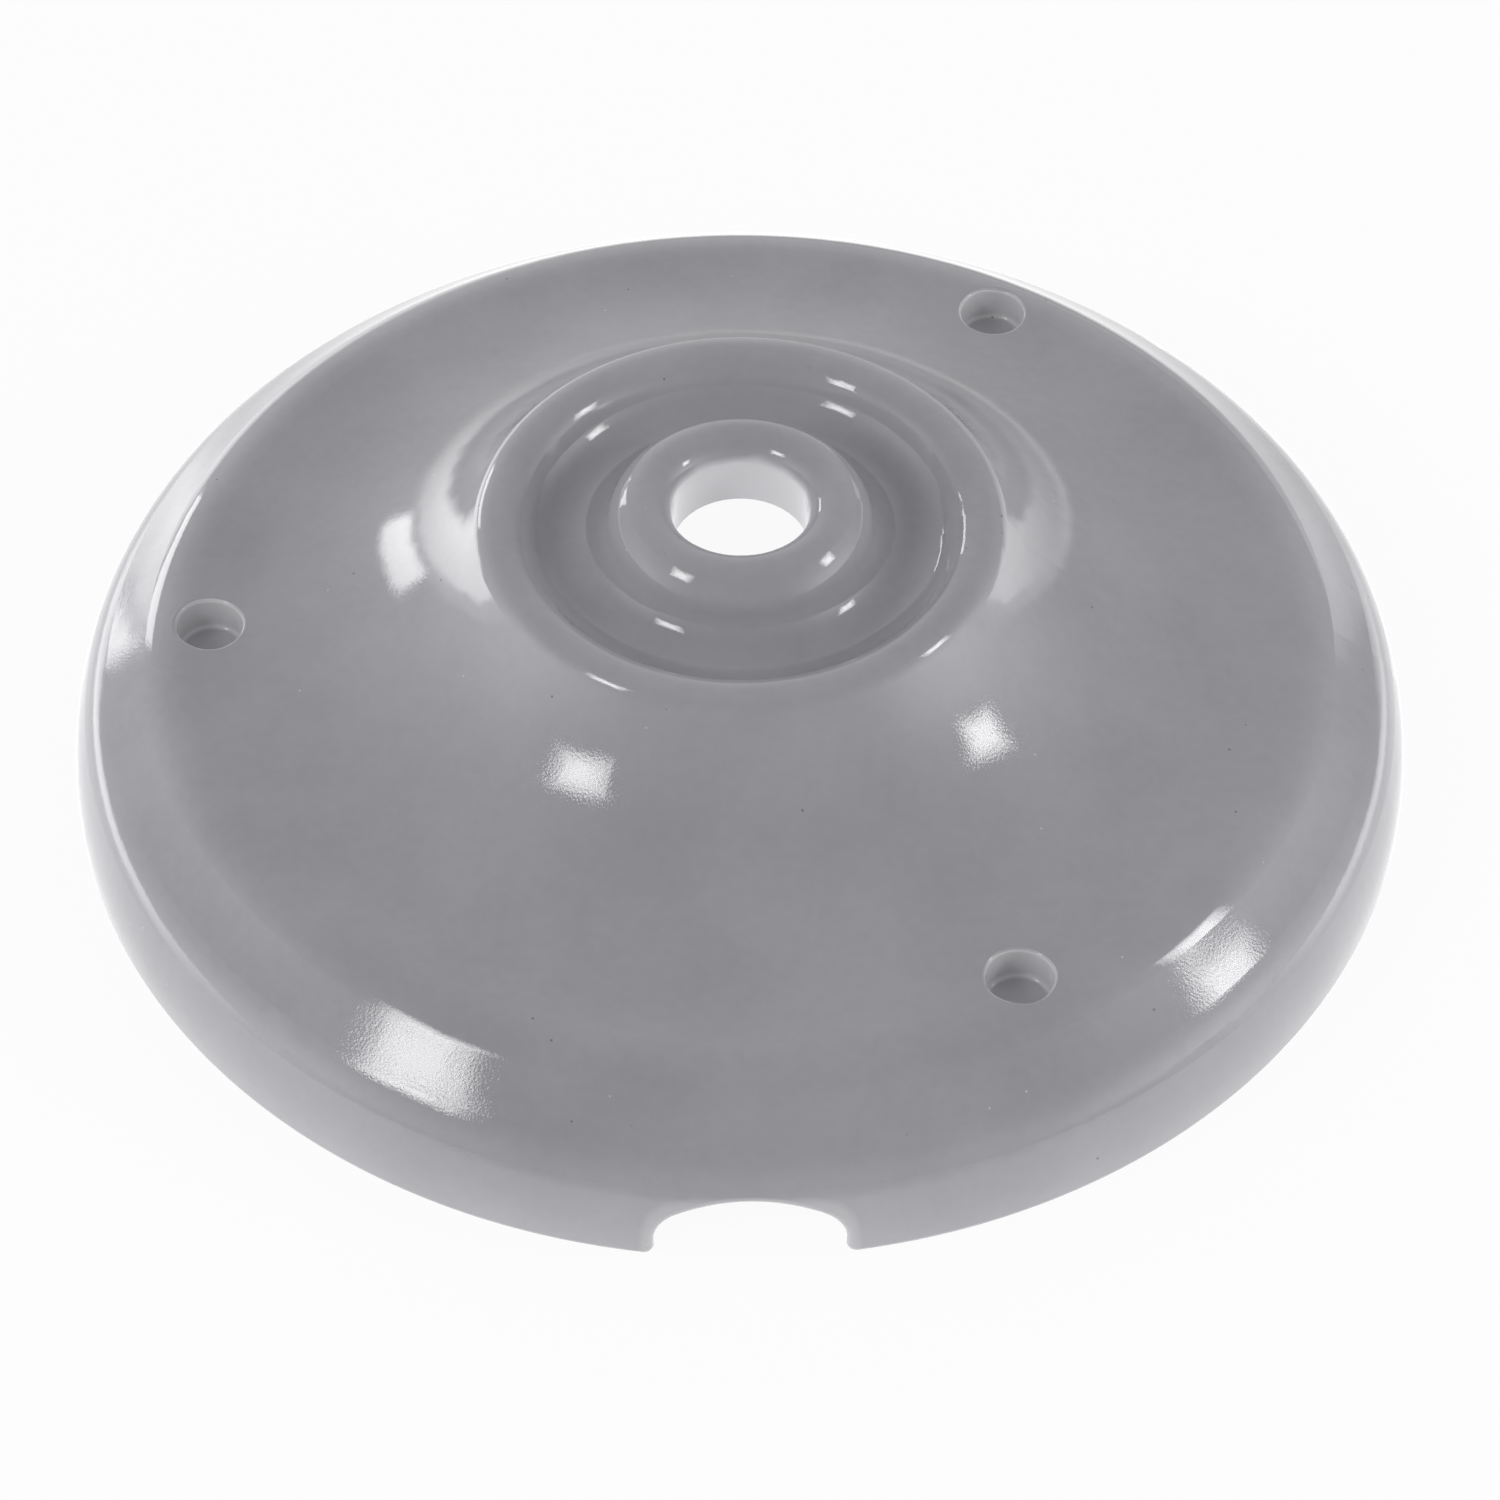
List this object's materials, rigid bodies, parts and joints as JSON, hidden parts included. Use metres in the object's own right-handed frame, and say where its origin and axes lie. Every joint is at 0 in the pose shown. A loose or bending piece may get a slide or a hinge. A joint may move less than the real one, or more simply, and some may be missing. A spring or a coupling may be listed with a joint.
{
  "type": "ceiling rose",
  "caption": "Round glazed ceramic ceiling rose: dished canopy with a raised ring and a central boss round the cord hole, bevelled rim with a cable notch, and three screw pockets.",
  "frame": {"origin": "centre of the foot plane, which meets the ceiling, on the axis of the cord hole", "axes": "+Z along the cord hole, out of the room side; the cable notch in the rim looks along -Y"},
  "size_m": [0.11, 0.1094, 0.0283],
  "materials": {
    "glaze": "gloss"
  },
  "bodies": {
    "root": {"rose_body": "glaze"}
  },
  "joints": []
}
